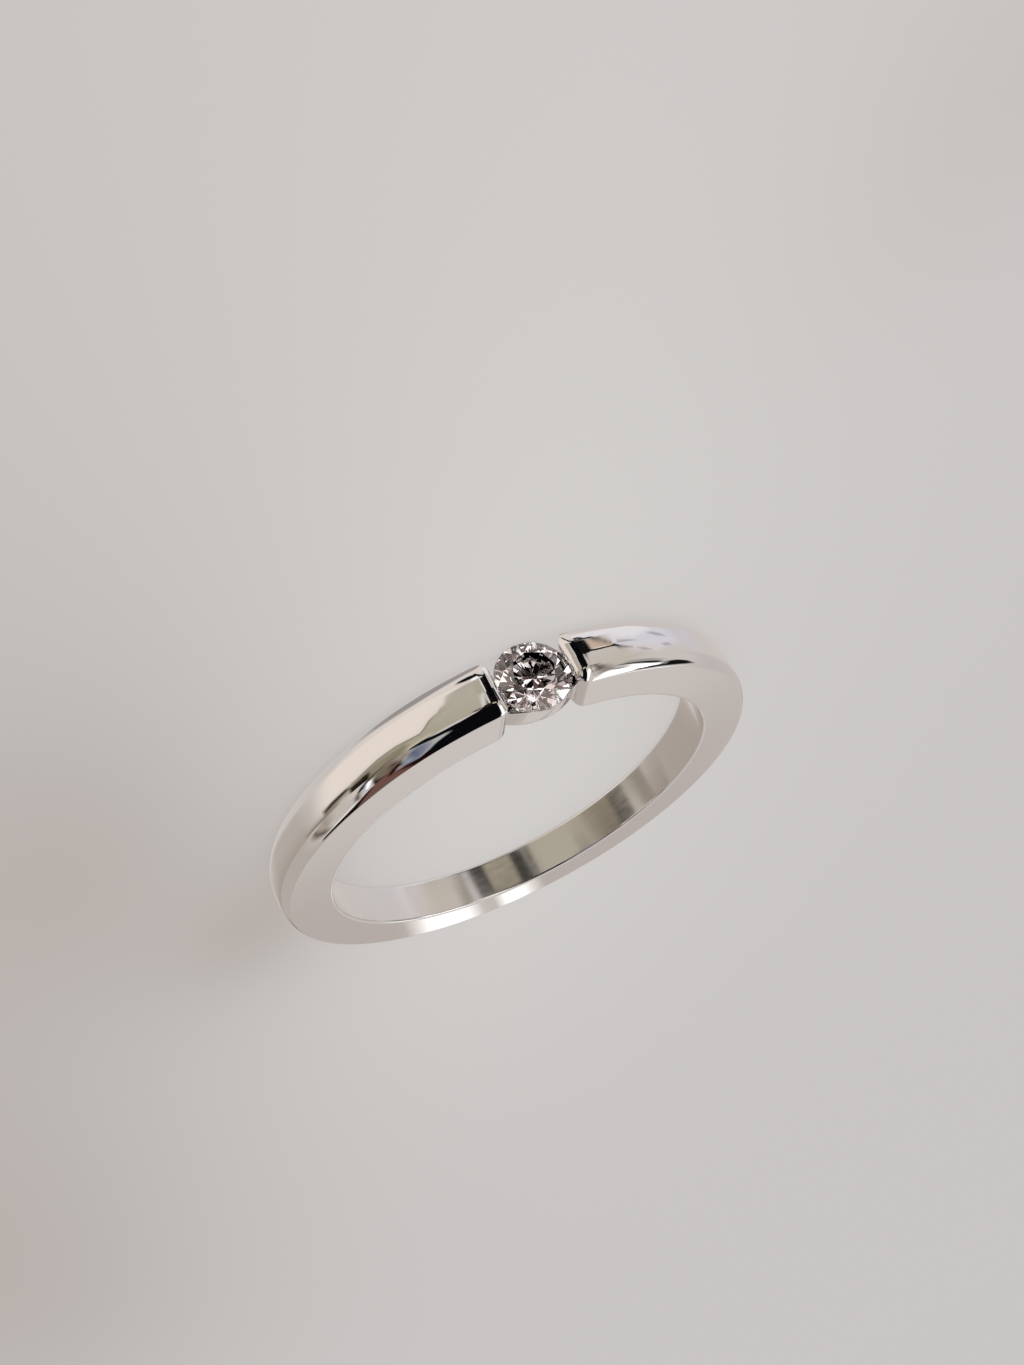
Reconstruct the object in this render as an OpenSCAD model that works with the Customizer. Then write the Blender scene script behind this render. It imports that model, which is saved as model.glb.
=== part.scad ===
// Wedding ring in white metal with one round brilliant.
// The band is a single casting. Its two shoulder ends stand either side of the stone and grip
// its girdle in a shallow groove, and a short bridge joins them under the stone.
// The ring lies on its side: the finger hole runs along Z, the stone is on the -Y side,
// and the origin is the middle of the finger hole. All sizes are millimetres and degrees.

/* [Finger hole] */
// Inner diameter of the band
finger_d = 16.5; // [14:0.1:22]

/* [Band] */
// Height of the flat side walls, from the finger hole to their outer edge
wall_h = 1.81; // [1.6:0.01:2.2]
// Width of the band at the stone
front_w = 2.25; // [2.1:0.05:2.8]
// Width of the band opposite the stone
back_w = 1.65; // [1.4:0.05:2]
// Rise of the outer face from the edge of a side wall to the crown
crown_rise = 0.25; // [0.15:0.01:0.32]
// Width of the steeper roll along each side wall
roll_w = 0.52; // [0.4:0.02:0.6]

/* [Shoulder ends] */
// Clear width between the two ends
end_gap = 2.72; // [2.6:0.01:2.76]
// Radius of the nose that rounds the top of each end
nose_r = 0.62; // [0.5:0.02:0.9]
// Depth of the nose where it meets the end, below the outer edge of a side wall
nose_drop = 0.1; // [0:0.01:0.2]
// Radius of the upright corners of each end
corner_r = 0.45; // [0.2:0.05:0.6]
// Radius of the toe, where each end meets the finger hole
toe_r = 0.12; // [0.1:0.02:0.3]

/* [Bridge] */
// Width of the bridge at its middle
bridge_w = 2.16; // [1.9:0.02:2.2]
// Radius of its two bowed faces, seen from above the stone
bow_r = 2.35; // [2:0.05:5]
// Height of its top above the finger hole
bridge_h = 0.95; // [0.7:0.05:1]
// Diameter of the pilot hole under the point of the stone
pilot_d = 0.9; // [0.6:0.1:1.1]

/* [Stone] */
// Diameter of the girdle
stone_d = 2.82; // [2.8:0.01:2.9]
// Height of the middle of the girdle above the finger hole
girdle_h = 1.46; // [1.42:0.01:1.55]
// Thickness of the girdle at its thickest points
girdle_t = 0.08; // [0.06:0.01:0.12]
// Width of the table across its corners, as a share of the girdle
table_share = 0.56; // [0.5:0.01:0.65]
// Slope of the eight kite facets of the crown
crown_slope = 34.5; // [30:0.5:36]
// Slope of the eight main facets of the pavilion
pavilion_slope = 40.75; // [40:0.25:42]
// How far the star facets reach from the table to the girdle
star_share = 0.5; // [0.4:0.05:0.6]
// How far the lower girdle facets reach from the girdle to the point
lower_share = 0.77; // [0.7:0.01:0.85]
// Clearance between the stone and its seat
seat_gap = 0.03; // [0.02:0.01:0.04]

/* [Hidden] */
$fn = 180;
// How far a cutting shape reaches past what it cuts
slack = 1;
// The angle at which a rounded face meets its neighbour, small enough to look smooth
blend = 5;

finger_r = finger_d / 2;
wall_r = finger_r + wall_h;
top_r = wall_r + crown_rise;

// Each side wall is a plane that leans, so that the band is widest at the stone
taper = atan((front_w - back_w) / 2 / (2 * wall_r));
wall_z = (front_w + back_w) / 4 * cos(taper);

// The crown is part of a sphere about the origin, and the roll starts at this point of it
roll_z = wall_z - roll_w;
roll_x = sqrt(top_r * top_r - roll_z * roll_z);
roll_lean = asin(roll_z / top_r) + blend;
edge_lean = 2 * atan((roll_x - wall_r) / roll_w) - roll_lean;
roll_r = roll_w / (sin(edge_lean) - sin(roll_lean));
roll_centre = [roll_x - roll_r * cos(roll_lean), roll_z - roll_r * sin(roll_lean)];

// Shoulder ends, seen along the finger hole, with angles turned from the stone
end_x = end_gap / 2;
nose_foot = wall_r - nose_drop;
rim = [end_x, -sqrt(nose_foot * nose_foot - end_x * end_x)];
nose_out = third_side(top_r, nose_r, blend);
nose_turn = asin(end_x / nose_foot) + corner_angle(nose_foot, nose_out, nose_r);
nose_centre = around(nose_turn, nose_out);
nose_start = around(nose_turn + corner_angle(top_r, nose_out, nose_r), top_r);
toe_out = third_side(finger_r, toe_r, 180 - blend);
toe_x = end_x + toe_r * cos(blend);
toe_centre = [toe_x, -sqrt(toe_out * toe_out - toe_x * toe_x)];

// Brilliant: heights are measured from the middle of the girdle, towards the table
stone_r = stone_d / 2;
turn = 45;
table_r = stone_r * table_share;
table_z = girdle_t / 2 + (stone_r - table_r) * tan(crown_slope);
table_mid_r = table_r * cos(turn / 2);
star_r = table_mid_r + star_share * (stone_r - table_mid_r);
star_z = girdle_t / 2 + (stone_r - star_r * cos(turn / 2)) * tan(crown_slope);
lower_r = stone_r * (1 - lower_share);
lower_z = -girdle_t / 2 - (stone_r - lower_r * cos(turn / 2)) * tan(pavilion_slope);
point_z = -girdle_t / 2 - stone_r * tan(pavilion_slope);
// The girdle is round, and each of the 16 girdle facets on either side of it spans four steps
girdle_span = turn / 2;
girdle_steps = 4;
girdle_n = 16 * girdle_steps;
chord_r = stone_r * cos(girdle_span / 2);
upper_slope = atan((star_z - girdle_t / 2) / (chord_r - star_r * cos(girdle_span / 2)));
under_slope = atan((-girdle_t / 2 - lower_z) / (chord_r - lower_r * cos(girdle_span / 2)));

// A point in the plane of the ring, turned by an angle from the stone
function around(angle, radius) = [radius * sin(angle), -radius * cos(angle)];

// The side of a triangle that faces an angle between two known sides
function third_side(a, b, angle) = sqrt(a * a + b * b - 2 * a * b * cos(angle));

// The angle of a triangle between sides a and b, facing side c
function corner_angle(a, b, c) = acos((a * a + b * b - c * c) / (2 * a * b));

// How deep a girdle facet bites into the round girdle, at one of the points along it
function bite(i, slope) =
    (stone_r * cos((i % girdle_steps) * girdle_span / girdle_steps - girdle_span / 2) - chord_r)
    * tan(slope);

// A ring of points about the stone's axis
function stone_ring(n, start, radius, height) =
    [for (i = [0:n - 1]) let (a = start + i * 360 / n) [radius * cos(a), radius * sin(a), height]];

// Across the band: what is cut off outside one side wall and its roll
module side_section() {
    translate([0, wall_z])
        square([top_r + slack, front_w]);
    difference() {
        polygon([
            roll_centre,
            roll_centre + 2 * ([roll_x, roll_z] - roll_centre),
            [top_r + slack, wall_z],
            [top_r + slack, wall_z + slack],
            [roll_centre[0], wall_z + slack]
        ]);
        translate(roll_centre)
            circle(roll_r);
    }
}

// Seen along Y: what is cut off the upright corner of the shoulder end on the +X side
module corner_section() {
    inset = corner_r * cos(blend);
    difference() {
        translate([end_x - slack, wall_z - inset])
            square([slack + inset, inset + slack]);
        translate([end_x + inset, wall_z - inset])
            circle(corner_r);
    }
}

// Seen along Z: what is cut off above the nose of the end on the +X side
module nose_section() {
    difference() {
        polygon([
            nose_centre,
            nose_centre + 2 * (nose_start - nose_centre),
            [end_x - slack, -top_r - slack],
            nose_centre + 2 * (rim - nose_centre)
        ]);
        translate(nose_centre)
            circle(nose_r);
    }
}

// Seen along Z: what is cut off below the toe of the end on the +X side
module toe_section() {
    difference() {
        polygon([
            toe_centre,
            [end_x - slack, toe_centre[1]],
            [end_x - slack, -finger_r + slack],
            toe_centre * (finger_r - slack) / toe_out
        ]);
        translate(toe_centre)
            circle(toe_r);
    }
}

// Draws its children on both sides of the plane that is square to a direction
module both_sides(direction) {
    children();
    mirror(direction)
        children();
}

// The closed hoop, with leaning side walls and a rolled outer face
module hoop() {
    difference() {
        intersection() {
            sphere(top_r);
            translate([-top_r - slack, -top_r - slack, -front_w])
                cube([2 * (top_r + slack), 2 * (top_r + slack), 2 * front_w]);
        }
        both_sides([0, 0, 1])
            rotate([-taper, 0, 0])
                rotate_extrude()
                    side_section();
    }
}

// What is taken out of the hoop for the stone, with the shoulder ends rounded
module end_cuts() {
    translate([-end_x, -top_r - slack, -front_w])
        cube([end_gap, top_r + slack - finger_r + slack, 2 * front_w]);
    both_sides([1, 0, 0]) {
        translate([0, 0, -front_w])
            linear_extrude(2 * front_w)
                nose_section();
        translate([0, 0, -front_w])
            linear_extrude(2 * front_w)
                toe_section();
        both_sides([0, 0, 1])
            rotate([90 - taper, 0, 0])
                linear_extrude(top_r + slack)
                    corner_section();
    }
}

// The bridge under the stone: two bowed faces, and a top that follows the finger hole
module bridge() {
    reach = end_x + corner_r;
    intersection() {
        translate([0, 0, -front_w])
            cylinder(r = finger_r + bridge_h, h = 2 * front_w);
        translate([-reach, -wall_r, -front_w])
            cube([2 * reach, wall_r, 2 * front_w]);
        translate([0, 0, bridge_w / 2 - bow_r])
            rotate([90, 0, 0])
                cylinder(r = bow_r, h = wall_r + slack);
        translate([0, 0, bow_r - bridge_w / 2])
            rotate([90, 0, 0])
                cylinder(r = bow_r, h = wall_r + slack);
    }
}

// Puts what is drawn about the stone's own axis into its place on the ring
module at_stone() {
    translate([0, -finger_r - girdle_h, 0])
        rotate([90, 0, 0])
            children();
}

// Room for the stone: its outline turned round, a little larger, over the pilot hole
module seat() {
    under = seat_gap / cos(pavilion_slope);
    over = seat_gap / cos(crown_slope);
    rotate_extrude()
        polygon([
            [0, point_z - under],
            [lower_r, lower_z - under],
            [stone_r + seat_gap, -girdle_t / 2],
            [stone_r + seat_gap, girdle_t / 2],
            [star_r, star_z + over],
            [table_r, table_z + over],
            [0, table_z + over]
        ]);
    translate([0, 0, -girdle_h - slack])
        cylinder(d = pilot_d, h = girdle_h + slack);
}

// The band: shank, shoulders and bridge in one casting
module band() {
    color([0.86, 0.85, 0.83])
        difference() {
            union() {
                difference() {
                    hoop();
                    end_cuts();
                }
                bridge();
            }
            at_stone()
                seat();
            translate([0, 0, -front_w])
                cylinder(d = finger_d, h = 2 * front_w);
        }
}

// The stone: a round brilliant with a table, 8 stars, 8 kites, 16 upper and 16 lower girdle
// facets and 8 pavilion mains, on a thin round girdle
module stone() {
    points = concat(
        stone_ring(8, 0, table_r, table_z),
        stone_ring(8, turn / 2, star_r, star_z),
        [for (i = [0:girdle_n - 1])
            stone_ring(girdle_n, 0, stone_r, girdle_t / 2 - bite(i, upper_slope))[i]],
        [for (i = [0:girdle_n - 1])
            stone_ring(girdle_n, 0, stone_r, bite(i, under_slope) - girdle_t / 2)[i]],
        stone_ring(8, turn / 2, lower_r, lower_z),
        [[0, 0, point_z]]
    );
    star = 8;
    top = 16;
    bottom = top + girdle_n;
    lower = bottom + girdle_n;
    tip = lower + 8;
    per_kite = 2 * girdle_steps;
    table = [[for (i = [7:-1:0]) i]];
    crown = [for (i = [0:7]) each [
        [i, (i + 1) % 8, star + i],
        [i, star + i, top + i * per_kite, star + (i + 7) % 8],
        concat([star + i], [for (j = [girdle_steps:-1:0]) top + i * per_kite + j]),
        concat([star + i], [for (j = [per_kite:-1:girdle_steps]) top + (i * per_kite + j) % girdle_n])
    ]];
    girdle = [for (i = [0:girdle_n - 1]) let (next = (i + 1) % girdle_n)
        [top + i, top + next, bottom + next, bottom + i]];
    pavilion = [for (i = [0:7]) each [
        [lower + i, tip, lower + (i + 7) % 8, bottom + i * per_kite],
        concat([lower + i], [for (j = [0:girdle_steps]) bottom + i * per_kite + j]),
        concat([lower + i], [for (j = [girdle_steps:per_kite]) bottom + (i * per_kite + j) % girdle_n])
    ]];
    color([0.9, 0.93, 0.96])
        at_stone()
            polyhedron(points, concat(table, crown, girdle, pavilion));
}

band();
stone();
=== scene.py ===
import math

import bmesh
import bpy
import numpy as np
from mathutils import Matrix


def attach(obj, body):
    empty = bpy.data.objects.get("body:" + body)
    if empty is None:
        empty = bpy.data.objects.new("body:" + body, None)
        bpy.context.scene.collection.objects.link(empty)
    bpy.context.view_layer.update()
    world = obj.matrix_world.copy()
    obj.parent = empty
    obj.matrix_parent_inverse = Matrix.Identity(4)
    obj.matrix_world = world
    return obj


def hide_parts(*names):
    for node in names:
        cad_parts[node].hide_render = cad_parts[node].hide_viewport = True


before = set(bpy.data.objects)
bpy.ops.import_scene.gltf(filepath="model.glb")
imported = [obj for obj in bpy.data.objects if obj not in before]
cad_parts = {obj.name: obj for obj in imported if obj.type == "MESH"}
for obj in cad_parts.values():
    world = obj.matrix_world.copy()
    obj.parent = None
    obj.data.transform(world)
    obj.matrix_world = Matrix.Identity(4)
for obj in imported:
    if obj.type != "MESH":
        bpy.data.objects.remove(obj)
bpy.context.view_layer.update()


# ---------------------------------------------------------------------------------------------
# Camera. A close view of the ring lying on its side, over the stone and the near side wall, with
# the stone at the top of the picture. Sizes in this script are in millimetres, and times MM they
# are metres.
MM = 0.001
camera_at = (16.4847, -59.0743, 23.7964)
picture_right = (-0.89703, -0.07459, 0.43563)
picture_down = (0.34579, 0.49543, 0.79686)
view_ahead = (-0.27526, 0.86544, -0.41862)


def in_scene(name, data):
    """A new object in the scene, from its mesh, camera or light."""
    made = bpy.data.objects.new(name, data)
    bpy.context.scene.collection.objects.link(made)
    return made


camera_data = bpy.data.cameras.new("camera")
camera_data.sensor_width = 36
camera_data.lens = 42.514
camera_data.clip_start, camera_data.clip_end = MM, 20000 * MM
camera = in_scene("camera", camera_data)
camera_axes = np.array([picture_right, picture_down, view_ahead]).T * (1, -1, -1)
camera.matrix_world = Matrix([[*camera_axes[i], camera_at[i] * MM] for i in range(3)] + [[0, 0, 0, 1]])
bpy.context.scene.camera = camera
bpy.context.scene.view_settings.view_transform = "Standard"


# ---------------------------------------------------------------------------------------------
# Band: shank, two shoulders and the bridge under the stone, all one white gold casting. It is
# filed to a low crown with a roll along each side wall, the ends are rounded to match, and the
# whole is polished to a mirror, with fine wheel marks left in the finger hole.
finger_r, wall_r, top_r = 8.25, 10.06, 10.31  # finger hole, edge of the side walls, crown
front_half, back_half = 1.125, 0.825  # half the width, at the stone and at the back
roll_w, end_x, corner_r, corner_block = 0.52, 1.36, 0.45, 0.9  # rolls, shoulder ends, their corners
# The roll's arc: its radius squared, its middle in from the wall and under the wall's edge, and
# how far in it reaches. Past it the crown rises by a gentle slope.
roll_square, roll_in, roll_under, roll_reach, crown_rise = 0.93302, 0.64656, 0.71764, 0.6, 0.048
nose_r, nose_x, nose_y, nose_turn = 0.62, 1.868, -9.511, 0.1  # the arc over a shoulder's end
corner_blend, crown_blend = 0.3, 0.012  # how softly the roll meets the nose, and both the crown
wall_round, end_round, hole_round, toe_round = 0.03, 0.06, 0.1, 0.12  # the edges' small roundings
end_turn, upright_turn = math.asin(end_x / wall_r), math.radians(16)
fine_depth, tiny = 0.62, 1e-9


def eased(share):
    """A share from 0 to 1 that starts and ends softly."""
    return share * share * (3 - 2 * share)


def half_width(y):
    """Half the width between the two leaning side walls."""
    return (front_half + back_half) / 2 - (front_half - back_half) / 2 * y / wall_r


def softer_of(a, b, spread):
    """The lower of two heights, with a smooth passage between them."""
    near = np.maximum(spread - np.abs(a - b), 0)
    return np.minimum(a, b) - near * near / (4 * spread)


def roll_height(depth):
    """Rise above the wall's edge at a depth in from the side wall: an arc, then a gentle slope."""
    near = np.minimum(depth, roll_reach)
    return np.sqrt(roll_square - (roll_in - near) ** 2) - roll_under + crown_rise * (depth - near)


def nose_height(x, y):
    """The same over the nose, an arc that turns the crown down to the shoulder's end."""
    off = math.atan2(nose_x, -nose_y) - np.arctan2(np.abs(x), -y)
    near, out = np.clip(off, 0, nose_turn), math.hypot(nose_x, nose_y)
    arc = out * np.cos(near) + np.sqrt(nose_r**2 - (out * np.sin(near)) ** 2)
    return arc - wall_r + np.maximum(-off, 0)


def outer_r(x, y, z):
    """Distance of the outer face from the middle of the finger hole."""
    side = roll_height(half_width(y) - np.abs(z))
    end = nose_height(x, y)
    crown = np.sqrt(top_r**2 - z * z) - wall_r
    return wall_r + softer_of(softer_of(side, end, corner_blend), crown, crown_blend)


def rounded(ahead, depth):
    """Moves points near a square corner of the plan on to nested rings that round it."""
    low, high = np.minimum(ahead, depth), np.maximum(ahead, depth)
    radius = np.maximum(corner_r - low, 0)
    arc = math.pi / 4 * radius
    span = np.maximum(corner_block - low, tiny)
    path = (high - low) / span * (arc + span - radius)
    angle = math.pi / 4 + np.minimum(path, arc) / np.maximum(radius, tiny)
    past = np.maximum(path - arc, 0)
    far = low + radius - radius * np.cos(angle) + past
    near = low + radius - radius * np.sin(angle)
    inside = (high < corner_block) & (radius > 0)
    far, near = np.where(inside, far, high), np.where(inside, near, low)
    return np.where(ahead > depth, far, near), np.where(ahead > depth, near, far)


# Rows go from a shoulder's end to the back, and columns from a side wall in to the middle.
ahead_steps = np.linspace(0, corner_block, 34)
far_turns = np.linspace(math.asin((end_x + corner_block) / wall_r), math.pi, 170)
row_turns = np.concatenate([np.arcsin((end_x + ahead_steps) / wall_r), far_turns[1:]])
row_ahead = wall_r * np.sin(np.minimum(row_turns, math.pi / 2)) - end_x
column_depths = np.concatenate([fine_depth * np.linspace(0, 1, 26) ** 1.2,
                                np.linspace(fine_depth, front_half, 9)[1:]])


def quarter(end_inset, side_inset, height_of):
    """A quarter of a face of the hoop, from a shoulder's end to the back and a wall to the middle.
    Its rows stand upright at the end, as that is cut, and turn to the hole's middle further on."""
    ahead = row_ahead + end_inset * np.maximum(1 - row_ahead / corner_block, 0)
    depth = column_depths + side_inset * np.maximum(1 - column_depths / corner_block, 0)
    ahead, depth = rounded(*np.meshgrid(ahead, depth, indexing="ij"))
    at_end = (row_ahead < corner_block)[:, None]
    rim_turn = np.where(at_end, np.arcsin(np.minimum((end_x + ahead) / wall_r, 1)), row_turns[:, None])
    keep = eased(1 - np.clip((rim_turn - end_turn) / upright_turn, 0, 1))
    height = np.full_like(rim_turn, wall_r)
    for _ in range(6):
        upright = np.arcsin(np.minimum(wall_r * np.sin(rim_turn) / height, 1))
        turn = rim_turn + keep * (upright - rim_turn)
        x, y = height * np.sin(turn), -height * np.cos(turn)
        half = half_width(y)
        share = (half - roll_w) / (front_half - roll_w)
        z = half - np.where(depth > roll_w, roll_w + (depth - roll_w) * share, depth)
        height = height_of(x, y, z)
    return np.stack([x, y, z], 2)


def border(face):
    """The outer edge of a quarter: along the side wall from the back, then across the end."""
    return np.concatenate([face[::-1, 0], face[0, 1:]])


def rounded_edge(first, corner, last, steps):
    """Lines of points that round an edge, after the first one and up to the last."""
    share = np.linspace(0, 1, steps + 1)[1:, None, None]
    return list((1 - share) ** 2 * first + 2 * share * (1 - share) * corner + share**2 * last)


def reach(corner, towards, like):
    """Points on the wall as far from their corner as the next face's border is."""
    size = np.linalg.norm(like - corner, axis=1) / np.linalg.norm(towards - corner, axis=1)
    return corner + (towards - corner) * size[:, None]


def quads(numbers):
    """Four-sided faces over a grid of vertex numbers."""
    a, b, c, d = numbers[:-1, :-1], numbers[1:, :-1], numbers[1:, 1:], numbers[:-1, 1:]
    return np.stack([a, b, c, d], 2).reshape(-1, 4).tolist()


def solid(name, points, faces):
    """A mesh object in metres from points in millimetres, its faces turned outwards."""
    mesh = bpy.data.meshes.new(name)
    mesh.from_pydata((np.asarray(points) * MM).tolist(), [], faces)
    shape = bmesh.new()
    shape.from_mesh(mesh)
    bmesh.ops.recalc_face_normals(shape, faces=shape.faces)
    shape.to_mesh(mesh)
    shape.free()
    return in_scene(name, mesh)


def with_modifiers(made):
    """Makes an object's modifiers part of its mesh."""
    bpy.context.view_layer.update()
    mesh = bpy.data.meshes.new_from_object(made.evaluated_get(bpy.context.evaluated_depsgraph_get()))
    made.modifiers.clear()
    made.data = mesh


def at_finger_hole(x, y, z):
    """The finger hole's radius everywhere."""
    return np.full_like(x, finger_r)


# A quarter of the hoop: its outer face, the finger hole's face, and the side wall and the end
# between them with rounded edges. It is mirrored to the other three.
outer = quarter(end_round, wall_round, outer_r)
hole = quarter(toe_round, hole_round, at_finger_hole)
rim = border(quarter(0, 0, outer_r))
foot = border(quarter(0, 0, at_finger_hole))
wall_top = reach(rim, foot, border(outer))
wall_foot = reach(foot, rim, border(hole))
lines = rounded_edge(border(outer), rim, wall_top, 5)
lines += [wall_top + (wall_foot - wall_top) * share for share in (0.02, 0.5, 0.98, 1)]
lines += rounded_edge(wall_foot, foot, border(hole), 6)[:-1]
grid = np.arange(outer[..., 0].size).reshape(outer.shape[:2])
line_grid = grid.size + np.arange(len(lines) * len(rim)).reshape(len(lines), -1)
hole_grid = grid + grid.size + line_grid.size
walls = np.concatenate([[border(grid)], line_grid, [border(hole_grid)]])
band = solid("band_casting", np.concatenate([outer.reshape(-1, 3), *lines, hole.reshape(-1, 3)]),
             quads(grid) + quads(walls) + quads(hole_grid))
both_ways = band.modifiers.new("both ways", "MIRROR")
both_ways.use_axis = (True, False, True)
both_ways.merge_threshold = 0.0005 * MM
with_modifiers(band)


def capped(name, rings):
    """A solid round rings of points, with a flat cap at its first and its last ring."""
    numbers = np.arange(rings[..., 0].size).reshape(rings.shape[:2])
    numbers = np.concatenate([numbers, numbers[:, :1]], 1)
    return solid(name, rings.reshape(-1, 3),
                 quads(numbers) + [numbers[0, :-1].tolist(), numbers[-1, :-1].tolist()])


# The bridge between the shoulder ends, bowed out under the stone.
bridge_h, bridge_half, bow_r, bridge_round, bridge_gap = 0.95, 1.08, 2.35, 0.06, 0.004
bridge_rows = np.linspace(-end_x - corner_r, end_x + corner_r, 65)
corner_turn = np.radians(np.linspace(0, 90, 6))
rings = []
for x in bridge_rows:
    half = math.sqrt(bow_r**2 - x * x) - bow_r + bridge_half
    low, high = (-math.sqrt((finger_r + rise) ** 2 - x * x) for rise in (bridge_gap, bridge_h))
    ring = []
    for side, level, turns in ((1, high, corner_turn), (1, low, corner_turn[::-1]),
                               (-1, low, corner_turn), (-1, high, corner_turn[::-1])):
        size = bridge_round if level == high else hole_round
        inward = 1 if level == high else -1
        ring += [(x, level + inward * size * (1 - math.cos(t)), side * (half - size * (1 - math.sin(t))))
                 for t in turns]
    rings.append(ring)
bridge = capped("bridge", np.array(rings))

# The stone's seat, a pilot hole and a cone that keep clear of its underside and its crown.
stone_r, girdle_h, girdle_t, seat_gap = 1.41, 1.46, 0.08, 0.03
pilot_r, pilot_past, table_share, lower_share = 0.45, 1, 0.56, 0.77
crown_slope, pavilion_slope = math.radians(34.5), math.radians(40.75)
under, over = seat_gap / math.cos(pavilion_slope), seat_gap / math.cos(crown_slope)
lower_r = stone_r * (1 - lower_share)
lower_z = -girdle_t / 2 - (stone_r - lower_r * math.cos(math.pi / 8)) * math.tan(pavilion_slope) - under
seat_slope = (-girdle_t / 2 - lower_z) / (stone_r + seat_gap - lower_r)
table_r = stone_r * table_share
table_z = girdle_t / 2 + (stone_r - table_r) * math.tan(crown_slope) + over
seat_line = [(pilot_r, -girdle_h - pilot_past), (pilot_r, lower_z + (pilot_r - lower_r) * seat_slope),
             (stone_r + seat_gap, -girdle_t / 2), (stone_r + seat_gap, girdle_t / 2), (table_r, table_z)]
seat_turns = np.linspace(0, 2 * math.pi, 129)[:-1]
seat_points = np.array([[(r * math.cos(t), -finger_r - girdle_h - h, r * math.sin(t)) for t in seat_turns]
                        for r, h in seat_line])
seat = capped("seat", seat_points)
for tool, operation in ((bridge, "UNION"), (seat, "DIFFERENCE")):
    cut = band.modifiers.new(tool.name, "BOOLEAN")
    cut.operation, cut.solver, cut.object = operation, "EXACT", tool
with_modifiers(band)
for tool in (bridge, seat):
    bpy.data.objects.remove(tool)
band.data.shade_smooth()
band.data.set_sharp_from_angle(angle=math.radians(32))
weighted = band.modifiers.new("facing", "WEIGHTED_NORMAL")
weighted.keep_sharp = True
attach(band, "root")
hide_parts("band")


class Shade:
    """A socket in a material: sums on it add Math nodes, and node() adds any other node."""

    def __init__(self, tree, socket=None):
        self.tree, self.socket = tree, socket

    def node(self, kind, settings=(), sockets=(), out=0):
        """Adds a node: its settings first, then the values or links of its sockets."""
        made = self.tree.nodes.new("ShaderNode" + kind)
        for name, value in dict(settings).items():
            setattr(made, name, value)
        for name, value in dict(sockets).items():
            if isinstance(value, Shade):
                self.tree.links.new(value.socket, made.inputs[name])
            else:
                made.inputs[name].default_value = value
        return Shade(self.tree, made.outputs[out] if made.outputs else None)

    def maths(self, operation, *values):
        return self.node("Math", {"operation": operation}, dict(enumerate(values)))

    def __add__(self, other): return self.maths("ADD", self, other)
    def __radd__(self, other): return self.maths("ADD", other, self)
    def __sub__(self, other): return self.maths("SUBTRACT", self, other)
    def __rsub__(self, other): return self.maths("SUBTRACT", other, self)
    def __mul__(self, other): return self.maths("MULTIPLY", self, other)
    def __rmul__(self, other): return self.maths("MULTIPLY", other, self)
    def __truediv__(self, other): return self.maths("DIVIDE", self, other)
    def __rtruediv__(self, other): return self.maths("DIVIDE", other, self)
    def __pow__(self, other): return self.maths("POWER", self, other)

    def clipped(self):
        made = self.maths("ADD", self, 0)
        made.socket.node.use_clamp = True
        return made

    def axes(self):
        """The x, y and z of a vector."""
        return [self.node("SeparateXYZ", {}, {0: self}, out=axis) for axis in "XYZ"]


def new_finish(name):
    """An empty material and the start of its shading."""
    made = bpy.data.materials.new(name)
    made.use_nodes = True
    made.node_tree.nodes.clear()
    return made, Shade(made.node_tree)


# The polish waves a little and has a few fine hairs. In the finger hole the wheel marks run round.
gold_dim, gold_clear = (0.885, 0.87, 0.86, 1), (0.915, 0.9, 0.89, 1)
hole_edge, edge_fade = 0.13, 0.1
marks_along, marks_over, marks_out = 9, 5200, 5
clean_rough, wave_rough, hair_rough, hole_rough, marks_rough = 0.028, 0.02, 0.12, 0.05, 0.07
hair_level = 0.62
white_gold, start = new_finish("white gold")
place = start.node("TexCoord", out="Object")
across, back, up = place.axes()
from_middle = (across**2 + back**2) ** 0.5 / MM
in_hole = ((finger_r + hole_edge - from_middle) / edge_fade).clipped()
turn_round = start.maths("ARCTAN2", across, back)
along = start.node("CombineXYZ", {}, {
    "X": turn_round * marks_along, "Y": up * marks_over, "Z": from_middle * marks_out})
wheel_marks = start.node("TexNoise", {"noise_dimensions": "3D"}, {
    "Vector": along, "Scale": 1, "Detail": 3, "Roughness": 0.6})
polish = start.node("TexNoise", {}, {"Vector": place, "Scale": 420, "Detail": 2, "Roughness": 0.5})
hairs = start.node("TexNoise", {}, {"Vector": place, "Scale": 5200, "Detail": 4, "Roughness": 0.65})
rough = (clean_rough + wave_rough * polish + (hairs - hair_level).clipped() * hair_rough
         + in_hole * (hole_rough + marks_rough * wheel_marks))
tint = start.node("Mix", {"data_type": "RGBA"}, {
    "Factor": polish, "A": gold_dim, "B": gold_clear}, out="Result")
waves = start.node("Bump", {}, {"Strength": 0.3, "Distance": 0.002 * MM, "Height": polish})
marks = start.node("Bump", {}, {
    "Strength": 0.35, "Distance": 0.0015 * MM, "Height": wheel_marks * in_hole, "Normal": waves})
metal = start.node("BsdfPrincipled", {}, {
    "Base Color": tint, "Metallic": 1, "Roughness": rough, "IOR": 1.5, "Normal": marks})
start.node("OutputMaterial", {}, {"Surface": metal})
band.data.materials.clear()
band.data.materials.append(white_gold)


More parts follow.
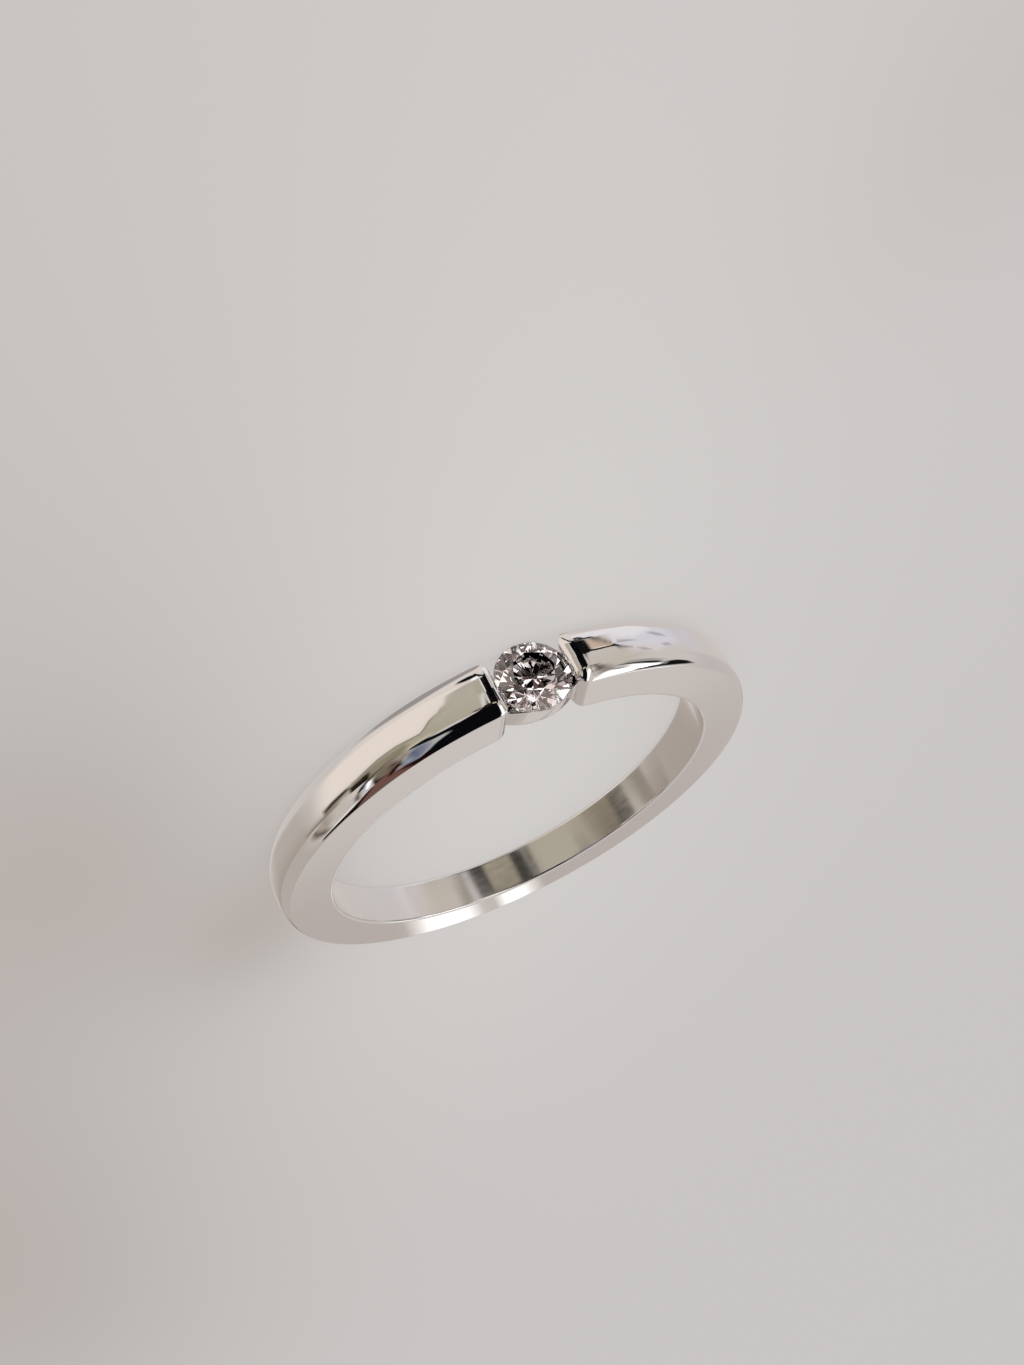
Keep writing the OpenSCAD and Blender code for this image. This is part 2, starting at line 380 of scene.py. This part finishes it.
# ---------------------------------------------------------------------------------------------
# Stone: one colourless round brilliant, cut with flat facets that are polished bright. It is
# held at its girdle by the two shoulder ends, over the bridge.
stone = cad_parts["stone"]
girdle_depth, girdle_fade = 0.03, 0.01
brilliant, start = new_finish("brilliant")
place = start.node("TexCoord", out="Object")
across, back, up = place.axes()
from_axis = (across**2 + up**2) ** 0.5 / MM
at_girdle = ((from_axis - stone_r + girdle_depth) / girdle_fade).clipped()
grain = start.node("TexNoise", {}, {"Vector": place, "Scale": 9000, "Detail": 2})
glass = start.node("BsdfPrincipled", {}, {
    "Base Color": (1, 1, 1, 1), "Roughness": at_girdle * (0.2 + 0.3 * grain), "IOR": 2.42,
    "Transmission Weight": 1})
start.node("OutputMaterial", {}, {"Surface": glass})
stone.data.materials.clear()
stone.data.materials.append(brilliant)


# ---------------------------------------------------------------------------------------------
# Stage: a plain pale floor that the ring lies on, touching the stone's girdle and the back of
# the lower side wall. It glows with the tone of the room, with wide soft painted pools of light
# and painted shade, and a soft light stands over it.
half_floor, floor_gap, stone_out = 1200 * MM, 0.005, finger_r + girdle_h
lean = math.atan2(stone_r - back_half, stone_out + wall_r)
floor_data = bpy.data.meshes.new("floor")
floor_data.from_pydata([(-half_floor, -half_floor, 0), (half_floor, -half_floor, 0),
                        (half_floor, half_floor, 0), (-half_floor, half_floor, 0)], [], [(0, 1, 2, 3)])
floor = in_scene("floor", floor_data)
at_stone = Matrix.Translation((0, -stone_out * MM, -(stone_r + floor_gap) * MM))
floor.matrix_world = at_stone @ Matrix.Rotation(lean, 4, "X")

# Most of the floor's tone is a painted glow, with painted pools of light and shade, and a quarter is the
# light on it, with the ring's shadow.
plain_tone, painted_light_tone = (0.577, 0.558, 0.552, 1), (0.711, 0.696, 0.684, 1)
painted_shade_tone, lit_share = (0.377, 0.319, 0.284, 1), 0.25
paper, start = new_finish("pale floor")
side, ahead, _ = start.node("TexCoord", out="Object").axes()
side, ahead = side / MM, ahead / MM


def patch(middle_side, middle_ahead, half_side, half_ahead):
    """A soft round patch for the painted light and shade: 1 in its middle, and a half at its half widths.
    """
    return 1 / (1 + ((side - middle_side) / half_side) ** 2 + ((ahead - middle_ahead) / half_ahead) ** 2)


# Painted light and shade on the floor: a pool of light, a wide dusk, a shadow at the ring's foot, and shade
# at the left and the right.
painted_light_pool, painted_dusk_shade = patch(1, 6, 12, 36), patch(30, 38, 14, 55)
painted_foot_shadow, painted_left_shade, painted_right_shade = patch(11, 15, 5, 8), patch(17, 3, 9, 17), patch(-14, -20, 8, 10)
pale = start.node("Mix", {"data_type": "RGBA"}, {
    "Factor": painted_light_pool, "A": plain_tone, "B": painted_light_tone}, out="Result")
painted_shade = 0.72 * painted_dusk_shade + 0.42 * painted_foot_shadow**2 + 0.38 * painted_left_shade**2 + 0.18 * painted_right_shade**2
tone = start.node("Mix", {"data_type": "RGBA"}, {
    "Factor": painted_shade, "A": pale, "B": painted_shade_tone}, out="Result")
painted_glow = start.node("Emission", {}, {"Color": tone})
sheet = start.node("BsdfDiffuse", {}, {"Color": (0.8, 0.8, 0.8, 1)})
blend = start.node("MixShader", {}, {0: lit_share, 1: painted_glow, 2: sheet})
start.node("OutputMaterial", {}, {"Surface": blend})
paper.cycles.emission_sampling = "NONE"
floor.data.materials.append(paper)
floor.visible_glossy = floor.visible_transmission = False

world = bpy.data.worlds.new("room")
world.use_nodes = True
around = world.node_tree.nodes["Background"].inputs
around["Color"].default_value, around["Strength"].default_value = (0.581, 0.563, 0.556, 1), 1
bpy.context.scene.world = world

lamp_data = bpy.data.lights.new("soft light", "SUN")
lamp_data.angle, lamp_data.energy, lamp_data.color = math.radians(60), 0.62, (1, 0.96, 0.93)
lamp = in_scene("soft light", lamp_data)
lamp.rotation_euler = (math.radians(35), 0, math.radians(20))
lamp.visible_glossy = lamp.visible_transmission = False


# ---------------------------------------------------------------------------------------------
# Painted reflections: two glowing shells far round the ring, seen only in reflection and refraction,
# one by the polished metal alone and one by the stone alone, their cards painting what each part
# shows. Each card has the softness of its edge, its tone, and its corners as turns from the stone's
# side and heights, in degrees. Later cards cover earlier ones.
black = (0.006, 0.006, 0.006)
painted_metal_reflections = [  # left and right are as the camera sees the ring
    # Far off: both sides, a dusk, what lies low and what lies behind.
    (4, (0.555, 0.515, 0.5), [(-150, -18), (-98, -18), (-98, 36), (-150, 36)]),
    (5, (0.48, 0.435, 0.4), [(104, -22), (112, 50), (180, 50), (180, -8), (150, -30), (112, -30)]),
    (2, (0.5, 0.45, 0.425), [(-180, 13.5), (-163, 13.8), (-156, 15.5), (-154, 19), (-165, 19), (-180, 22)]),
    (6, (0.74, 0.69, 0.645), [(-60, -36), (95, -36), (95, -90), (-60, -90)]),
    (4, (0.34, 0.31, 0.295), [(-185, -67), (185, -67), (185, -95), (-185, -95)]),
    (3, (0.22, 0.18, 0.165), [(-181, -16), (-146, -16), (-146, 1), (-181, 1)]),
    (3, (0.22, 0.18, 0.165), [(172, -16), (181, -16), (181, 1), (172, 1)]),
    # Painted reflections low down for the rolls: a cream sheet, lilac sheets, and grey streaks on those.
    (3.5, (0.845, 0.755, 0.685), [(8, -28), (27, -26.5), (36, -21), (52, -21.6), (80, -20.5), (94, -19),
        (98, -23), (92, -34), (70, -39), (45, -42), (20, -39), (8, -35)]),
    (1.2, (0.69, 0.675, 0.73), [(-98, -22.5), (-84, -20.5), (-72, -20), (-62, -22.6), (-57, -24),
        (-56, -27), (-62, -30), (-85, -29), (-98, -26)]),
    (1.5, (0.82, 0.8, 0.83), [(-84, -27), (-72, -25.8), (-62, -26.8), (-50, -28.4), (-40, -29), (-40, -44),
        (-60, -46), (-84, -40)]),
    (0.8, (0.7, 0.655, 0.67), [(-80, -19.5), (-70, -19.6), (-62, -21.3), (-64, -23), (-74, -22.4),
        (-82, -21.2)]),
    (3, (0.62, 0.6, 0.63), [(-112, -21), (-98, -20.5), (-96, -28), (-112, -27)]),
    (0.45, (0.36, 0.34, 0.36), [(-76, -20), (-71, -20.2), (-68, -21.1), (-72, -21)]),
    (0.5, (0.4, 0.385, 0.41), [(-91, -24.2), (-85, -24.8), (-81, -26.2), (-84, -26.2), (-89, -25.2)]),
    (0.4, (0.42, 0.4, 0.44), [(-90, -21.3), (-85, -21.2), (-84, -22), (-89, -22.1)]),
    (0.35, (0.44, 0.42, 0.45), [(-72, -23.9), (-64, -25), (-58, -26.2), (-61, -26.8), (-68, -25.3)]),
    # Painted reflections on the left shoulder's roll: an olive sheet, its paler parts, dark rim, brown end
    # and pale edge.
    (0.25, (0.43, 0.39, 0.31), [(0.9, -22), (3, -19), (12, -16), (40, -17.2), (46, -16.5), (60, -17.5),
        (75, -18.4), (96, -18.6), (97, -21.3), (84, -21.5), (72, -21.6), (60, -22.5), (50, -22.6),
        (42, -21.6), (38, -21.4), (35, -22.2), (31, -24.4), (28, -26.6), (24, -28.4), (18, -29.2),
        (8, -29.3), (-1, -28.5)]),
    (2, (0.48, 0.44, 0.37), [(2, -21.5), (8, -21), (24, -21), (30, -21.8), (26, -23), (18, -26), (6, -26),
        (0, -24)]),
    (1.2, (0.5, 0.465, 0.395), [(4, -27), (16, -27.5), (22, -27.5), (16, -28.6), (4, -28.4)]),
    (0.3, (0.17, 0.145, 0.085), [(28, -26.5), (31, -24.2), (35, -22), (38, -21.1), (43, -21.5),
        (50, -22.4), (60, -22.3), (72, -21.3), (72, -21.7), (60, -22.8), (50, -22.9), (43, -22.1),
        (38, -21.6), (35.5, -22.5), (31.5, -24.7)]),
    (0.7, (0.3, 0.265, 0.19), [(44, -19.5), (60, -20), (74, -19.6), (76, -21.4), (60, -22), (46, -21.5)]),
    (0.5, (0.82, 0.8, 0.76), [(-5, -22.6), (0.3, -22.6), (-0.6, -28.2), (-5, -28.4)]),
    # Beyond it: a beige sheet with a side, a bright top, a shade, a thin line and two dark spots.
    (1.2, (0.565, 0.52, 0.465), [(73, -18.4), (75, -10), (76, 0), (79, 14), (83, 26), (90, 31), (103, 30),
        (106, 15), (106, -5), (100, -18)]),
    (1.5, (0.66, 0.6, 0.54), [(73, -17), (74, -8), (77, 4), (79, 3), (78, -8), (79, -17)]),
    (0.9, (0.92, 0.88, 0.83), [(80, 27.5), (86, 29.6), (94, 30.6), (102, 29.5), (100, 27.2), (92, 27.4),
        (84, 26)]),
    (2.2, (0.36, 0.315, 0.275), [(92, -17), (91, 0), (94, 14), (99, 14), (99, -17)]),
    (1.6, (0.13, 0.09, 0.07), [(101.5, -7), (100.5, 6), (99, 16), (101, 25), (104.5, 24), (106, 8),
        (104.5, -7)]),
    (0.3, (0.012, 0.01, 0.008), [(77, -20.4), (84, -20.1), (95, -19.8), (96, -20.6), (90, -21.2),
        (80, -21.2)]),
    (0.35, (0.015, 0.012, 0.008), [(65, -19.2), (68, -18.9), (71, -19.6), (70, -20.6), (66, -20.4)]),
    # Painted reflections on the left shoulder's crown: a wide black field and its pale edge.
    (0.35, (0.003, 0.003, 0.004), [(-45, -27.2), (-30, -29.5), (-15, -28.4), (-5.5, -28.6), (-4.6, -25.5),
        (-4, -22.8), (-1, -22.5), (0.9, -22.2), (2.6, -21.5), (4.5, -20.8), (6.6, -17.6), (9, -14.2),
        (12, -12.6), (18, -9.3), (25, -10.2), (30, -13.2), (35, -17.2), (40, -19), (44, -18.6),
        (46, -16.5), (60, -10), (64, 0), (70, 40), (80, 60), (30, 75), (0, 70), (-6, 42), (-12, 25),
        (-14, 15), (-16, 7), (-17, 0), (-18, -5), (-18, -12), (-22, -18), (-40, -22.5)]),
    (0.8, (1.25, 1.22, 1.2), [(-38, -11), (-30, 0), (-27, 10), (-24, 20), (-18, 32), (-10, 46), (-4, 40),
        (-10, 25), (-12, 15), (-15, 7), (-16, 0), (-20, -8), (-26, -12)]),
    # The field's left edge: slips of grey, blues, tan, browns and dark reds.
    (0.9, (0.46, 0.45, 0.43), [(25, 4.5), (30, 2), (33, 0), (37, -8), (42, -14), (46, -17), (52, -18.2),
        (56, -18.6), (50, -5), (50, 20), (46, 38), (40, 33), (35, 24), (30, 17), (25, 10)]),
    (1.4, (0.215, 0.235, 0.3), [(36, -5), (41, -12), (44, -13), (46, -6), (46, 8), (50, 16), (53, 27),
        (51, 36), (47, 39), (43, 34), (38, 25), (35, 14), (35, 4)]),
    (1.6, (0.125, 0.135, 0.19), [(40, -2), (45, -2), (46, 8), (46, 30), (44, 30), (41, 14)]),
    (1.2, (0.3, 0.34, 0.38), [(47, 18), (50, 20), (52, 27), (50, 30), (47, 26)]),
    (1.2, (0.3, 0.215, 0.155), [(47, -2), (50, -2), (51, -16), (46, -16.5), (45.5, -8)]),
    (1.2, (0.185, 0.155, 0.115), [(50.5, 8), (51, -15), (53, -18), (60, -17.5), (66, -14), (64, -8),
        (64, 2), (63, 14), (58, 17)]),
    (1, (0.155, 0.095, 0.075), [(48, 2), (52, 0), (56, 3), (58, 16), (54, 14), (50, 9)]),
    (0.9, (0.165, 0.08, 0.066), [(55, 15), (60, 17), (65, 19), (70, 24), (76, 27.6), (82, 31.5), (88, 34),
        (92, 38), (96, 52), (100, 60), (72, 60), (58, 54), (54, 42), (56, 34), (58, 26)]),
    (2.5, (0.15, 0.1, 0.085), [(66, 46), (80, 42), (92, 42), (100, 60), (70, 60)]),
    (1.1, (0.33, 0.26, 0.25), [(52.5, 20), (55, 19), (57, 26), (56, 32), (53, 33), (52, 27)]),
    (0.7, (0.016, 0.003, 0.002), [(52, 10.5), (55, 14), (58, 20), (61, 26), (60.5, 30), (57, 26),
        (53.5, 20), (51, 15)]),
    (2.2, (0.02, 0.004, 0.003), [(45, 44), (54, 34), (56, 32), (56, 46), (54, 56), (45, 56)]),
    (0.7, (0.02, 0.012, 0.008), [(52.3, -0.6), (55.5, -0.3), (55.8, -4), (53.5, -8.5), (52.2, -5)]),
    # A painted glint: a thin bright slit with a rim, dark arcs round it, and a warm glow.
    (0.5, (0.42, 0.47, 0.52), [(67, -8), (69, -6), (69.5, 3), (72, 12), (72.5, 17), (70, 17), (67, 10)]),
    (0.45, (1.4, 1.4, 1.4), [(65, -8), (67, -8), (68, 0), (68.8, 8), (70.8, 14), (69.4, 15), (66.9, 9),
        (65.6, 1)]),
    (0.5, (0.012, 0.008, 0.005), [(53, -19.4), (58, -17.9), (63, -16.3), (67, -12.5), (68.6, -8), (69, -1),
        (70, 4), (73.6, 7.5), (74.2, 5), (72.5, -3), (71.8, -10), (69, -16), (65, -18.3), (59, -19.2)]),
    (1, (0.085, 0.055, 0.045), [(73, 7), (74, 13), (76, 20), (78, 24), (80, 23), (77.5, 14), (75.5, 7)]),
    (0.5, (0.008, 0.005, 0.004), [(67.5, 20), (70, 21.8), (74, 24.6), (80, 28.4), (86, 31), (92, 32),
        (102, 30.6), (110, 27.4), (114, 30), (118, 60), (100, 60), (96, 46), (90, 40), (84, 36.4),
        (78, 32.4), (72, 27.2), (68, 22.5)]),
    (0.6, (0.35, 0.25, 0.2), [(77, 24.5), (80, 27.5), (83, 29.5), (81, 30), (77, 27)]),
    # Painted reflections on the left shoulder's far corner and nose: a black band and a white spot.
    (0.7, black, [(-48, -27.8), (-24, -29), (-14, -31), (-5, -33), (-2, -35.5), (3, -36),
        (7, -39), (11, -45), (9, -50), (3, -50), (-3, -44), (-9, -39), (-16, -35.5), (-24, -32.5),
        (-48, -30.5)]),
    (0.8, (1.1, 1.1, 1.08), [(-3, -30), (2, -30), (3, -36), (-1, -36.5)]),
    # Painted reflections in the finger hole: narrow patches, and a pale line along the olive sheet's
    # corner.
    (0.4, (0.62, 0.55, 0.425), [(-21, -18.2), (-3, -18.2), (-3, -20.3), (-21, -20.3)]),
    (0.2, (0.56, 0.5, 0.4), [(33, -18.1), (46, -18.1), (46, -19.4), (33, -19.4)]),
    (1.2, (0.09, 0.06, 0.04), [(-42, -17.4), (-35.5, -17.4), (-35.5, -20.6), (-42, -20.6)]),
    (0.7, (0.018, 0.013, 0.009), [(-1.5, -16.6), (8.5, -16.6), (9.8, -20.3), (-1.5, -20.5)]),
    (2, (0.2, 0.16, 0.11), [(48, -17.8), (67, -17.8), (67, -19.9), (48, -20)]),
    (0.22, (0.8, 0.78, 0.74), [(0.2, -22.6), (2.4, -22), (4.4, -21.4), (6.7, -18.2), (9.1, -15.1),
        (12, -14.6), (12, -14), (8.8, -14.3), (6.2, -17.5), (4, -20.9), (2.2, -21.5), (0.2, -22.1)]),
    (0.15, (0.018, 0.013, 0.009), [(2.5, -18.1), (8.5, -18.1), (8.5, -19.3), (2.5, -19.3)]),
    (0.5, (0.015, 0.01, 0.005), [(66.5, -17.2), (78, -17.2), (78, -20.4), (66.5, -20.5)]),
    (1.5, (0.26, 0.205, 0.16), [(86, -16.6), (112, -16.6), (112, -19.8), (86, -19.6)]),
    (3, (0.41, 0.352, 0.31), [(114, -15), (174, -14), (174, -22), (114, -21)]),
    (0.6, (0.02, 0.014, 0.009), [(-29.5, -17.5), (-20.3, -17.5), (-20.3, -20.6), (-29.5, -20.6)]),
    # Painted highlights on the right shoulder's roll: bright sheets, the brightest small.
    (1, (1.5, 1.5, 1.5), [(-80, 24), (-74, 27.5), (-70, 31), (-72, 38), (-74, 50), (-60, 56), (-50, 52),
        (-44, 38), (-43.5, 27), (-45, 18.5), (-48, 14), (-50, 11.5), (-53, 17), (-58, 23), (-62, 20.5),
        (-60, 17), (-56, 13.5), (-60, 15), (-66, 19), (-72, 21.5), (-79, 19.5)]),
    (0.8, (6, 6, 6), [(-75.5, 22.5), (-68, 21.8), (-66, 29), (-73, 31.5)]),
    (3, (0.28, 0.27, 0.265), [(-92, 36), (-84, 37), (-76, 36), (-76, 46), (-92, 46)]),
    (2, (1.1, 1.1, 1.1), [(-150, 37), (-120, 40.5), (-104, 39.5), (-104, 50), (-150, 50)]),
    (1.5, (1, 1, 1), [(-108, 28), (-105, 31.5), (-98, 31.5), (-92, 29), (-98, 27.5)]),
    # Black arcs round the bright sheets, with greys and beiges between and below them.
    (0.9, black, [(-98, 12.5), (-95, 18.5), (-90, 24), (-85, 28.5), (-82, 34), (-74, 37),
        (-70, 32), (-75, 28.5), (-79, 26), (-80.3, 22), (-80, 16), (-82, 13), (-86, 10), (-92, 9.5)]),
    (0.5, (0.3, 0.28, 0.26), [(-82, 16), (-80.8, 15.4), (-80.8, 20), (-83, 24)]),
    (0.9, black, [(-79, 17.8), (-74, 18.6), (-68, 17.6), (-61, 14), (-55, 9.6), (-50, 5.2),
        (-50, 3.2), (-56, 5.6), (-62, 9), (-68, 11.5), (-76, 13)]),
    (2.5, (0.33, 0.3, 0.28), [(-76, 12.5), (-68, 10.5), (-58, 6), (-52, 1), (-56, -2), (-66, 3), (-76, 8)]),
    (1.2, (0.05, 0.045, 0.04), [(-57, 22), (-53, 20.5), (-49, 17), (-46, 13.5), (-47.5, 12), (-52, 14.5),
        (-56, 19)]),
    (2.5, (0.57, 0.52, 0.455), [(-70, -19.6), (-62, -6), (-52, -1), (-44, -3), (-42, -19.6)]),
    (2, (0.29, 0.25, 0.21), [(-50, 12), (-44, 14), (-40, 16), (-38, 0), (-38, -14), (-43, -12), (-46, -2)]),
    (1.2, (0.1, 0.085, 0.065), [(-41.5, 0), (-38, 1), (-37.5, -18), (-40, -18), (-41.5, -8)]),
    # Painted reflections on the right shoulder's crown and corner: pale and pink patches, and black lines
    # and blots.
    (0.5, (0.585, 0.535, 0.465), [(-62, -18.6), (-37, -19), (-37, -21.5), (-50, -21.1), (-62, -20.9)]),
    (0.3, (0.6, 0.46, 0.36), [(-56, -22.3), (-50, -22.1), (-45, -22.6), (-43, -27.4), (-56, -27.2)]),
    (0.5, (0.83, 0.78, 0.72), [(-52, -24.2), (-48, -23.6), (-43, -25.6), (-43, -26.6), (-50, -26.4)]),
    (0.3, (0.008, 0.008, 0.007), [(-57.5, -21.1), (-53, -21.7), (-49, -22), (-45, -22.6), (-41, -23.2),
        (-37, -24), (-37, -26), (-42, -25.5), (-46, -25), (-50, -24.7), (-54, -24.2), (-58, -22.6)]),
    (0.3, (0.3, 0.27, 0.26), [(-66, -21.3), (-57.5, -21.1), (-58, -22), (-66, -21.6)]),
    (0.12, (0.05, 0.03, 0.022), [(-42, -28.6), (-45, -27.5), (-48, -27.25), (-51, -27.2), (-56, -26.9),
        (-56, -27.05), (-51, -27.45), (-48, -27.6), (-45, -28.3), (-43, -29.6)]),
    (0.35, (0.012, 0.01, 0.01), [(-59, -21.6), (-52, -22), (-54, -24.8), (-57, -26.4), (-57.5, -24)]),
    (0.4, black, [(-48, -21.8), (-44, -22.2), (-40, -24), (-37, -27), (-41, -27.2),
        (-44, -25.5)]),
    (0.6, (0.01, 0.01, 0.01), [(-44.5, -28.4), (-42.5, -28.4), (-39.5, -34), (-41, -38), (-44.4, -37)]),
    # Painted highlights on the side wall at the back: a dim slip between two bright ones.
    (0.25, (0.36, 0.32, 0.28), [(-167.9, 14.6), (-166.7, 14.8), (-166.7, 18.2), (-167.8, 18.2)]),
    (0.3, (1.45, 1.42, 1.4), [(-170.1, 15), (-167.8, 15), (-167.8, 18), (-169.7, 18)]),
    (0.2, (1.5, 1.47, 1.45), [(-166.8, 15.2), (-165.6, 15.2), (-165.6, 17.8), (-166.7, 17.8)]),
]
# Painted reflections for the stone: white, rose and dark cards that its facets show, over a dark pinkish
# brown.
white, rose, dark = (2.1, 1.96, 1.92), (1, 0.82, 0.79), (0.003, 0.003, 0.003)
painted_glass_reflections = [
    (2, white, [(-181, 58), (181, 58), (181, 70), (-181, 70)]),
    (3, white, [(-181, -20), (181, -20), (181, -34), (-181, -34)]),
    (3, rose, [(-181, -40), (181, -40), (181, -90), (-181, -90)]),
    (2, white, [(-90, -14), (-48, -12), (-44, 44), (-90, 50)]),
    (2, rose, [(58, -14), (110, -14), (110, 52), (58, 44)]),
    (1, dark, [(-14, -16), (22, -16), (24, 16), (28, 50), (0, 56), (-18, 40), (-18, 10)]),
    (1, rose, [(-40, -14), (-30, -14), (-30, 40), (-40, 40)]),
    (1, rose, [(34, -10), (42, -10), (46, 36), (36, 36)]),
    (0.8, white, [(-4, 26), (6, 26), (6, 36), (-4, 36)]),
    (0.8, white, [(10, -2), (18, -2), (18, 6), (10, 6)]),
    (0.8, white, [(-26, 8), (-20, 8), (-20, 28), (-26, 28)]),
    (0.8, rose, [(-10, -6), (2, -6), (2, 2), (-10, 2)]),
]
turn_share = 0.4  # what a degree of turn counts beside one of height, in a soft edge


def depth_inside(turn, height, corners):
    """Distance in from a card's outline, less than nothing outside it."""
    nearest, inside = np.full(turn.shape, 1e9), np.zeros(turn.shape, bool)
    for (x, y), (next_x, next_y) in zip(corners, corners[1:] + corners[:1]):
        run, rise = (next_x - x) * turn_share, next_y - y
        across, up = (turn - x) * turn_share, height - y
        along = np.clip((across * run + up * rise) / (run * run + rise * rise), 0, 1)
        nearest = np.minimum(nearest, (across - along * run) ** 2 + (up - along * rise) ** 2)
        if rise:
            inside ^= ((y > height) != (next_y > height)) & (across < up / rise * run)
    return np.where(inside, 1, -1) * np.sqrt(nearest)


# The shells' steps are finest where the rolls and the shoulder ends look.
dome_r = 2600 * MM
dome_turns = np.radians(np.concatenate([np.arange(-180, -150, 0.5), np.arange(-150, -110, 2),
                                        np.arange(-110, 120, 0.6), np.arange(120, 180.1, 2)]))
dome_heights = np.radians(np.concatenate([np.arange(-90, -52, 4), np.arange(-52, -31, 1),
                                          np.arange(-31, -16, 0.2), np.arange(-16, 44, 1),
                                          np.arange(44, 90.1, 2)]))


def dome(name, base, cards):
    """A glowing shell, seen only in reflection and refraction, whose inside carries painted reflection
    cards over a base tone.
    """
    turn, height = np.meshgrid(dome_turns, dome_heights, indexing="ij")
    level = np.cos(height)
    points = dome_r * np.stack([np.sin(turn) * level, -np.cos(turn) * level, np.sin(height)], 2)
    tones = np.ones(turn.shape + (4,))
    tones[..., :3] = base
    for soft, tone, corners in cards:
        inside = depth_inside(np.degrees(turn), np.degrees(height), corners)
        share = eased(np.clip(0.5 + inside / (2 * soft), 0, 1))[..., None]
        tones[..., :3] += (np.array(tone) - tones[..., :3]) * share
    mesh = bpy.data.meshes.new(name)
    mesh.from_pydata(points.reshape(-1, 3).tolist(), [], quads(np.arange(turn.size).reshape(turn.shape)))
    mesh.color_attributes.new("tone", "FLOAT_COLOR", "POINT").data.foreach_set("color", tones.ravel())
    finish, start = new_finish(name)
    lit = start.node("Emission", {}, {"Color": start.node("VertexColor", {"layer_name": "tone"})})
    start.node("OutputMaterial", {}, {"Surface": lit})
    finish.cycles.emission_sampling = "NONE"
    mesh.materials.append(finish)
    shell = in_scene(name, mesh)
    shell.visible_camera = shell.visible_diffuse = False
    shell.visible_shadow = shell.visible_volume_scatter = False
    return shell


dome("painted reflections for metal", (0.62, 0.58, 0.556), painted_metal_reflections).visible_transmission = False
dome("painted reflections for glass", (0.13, 0.08, 0.072), painted_glass_reflections).visible_glossy = False
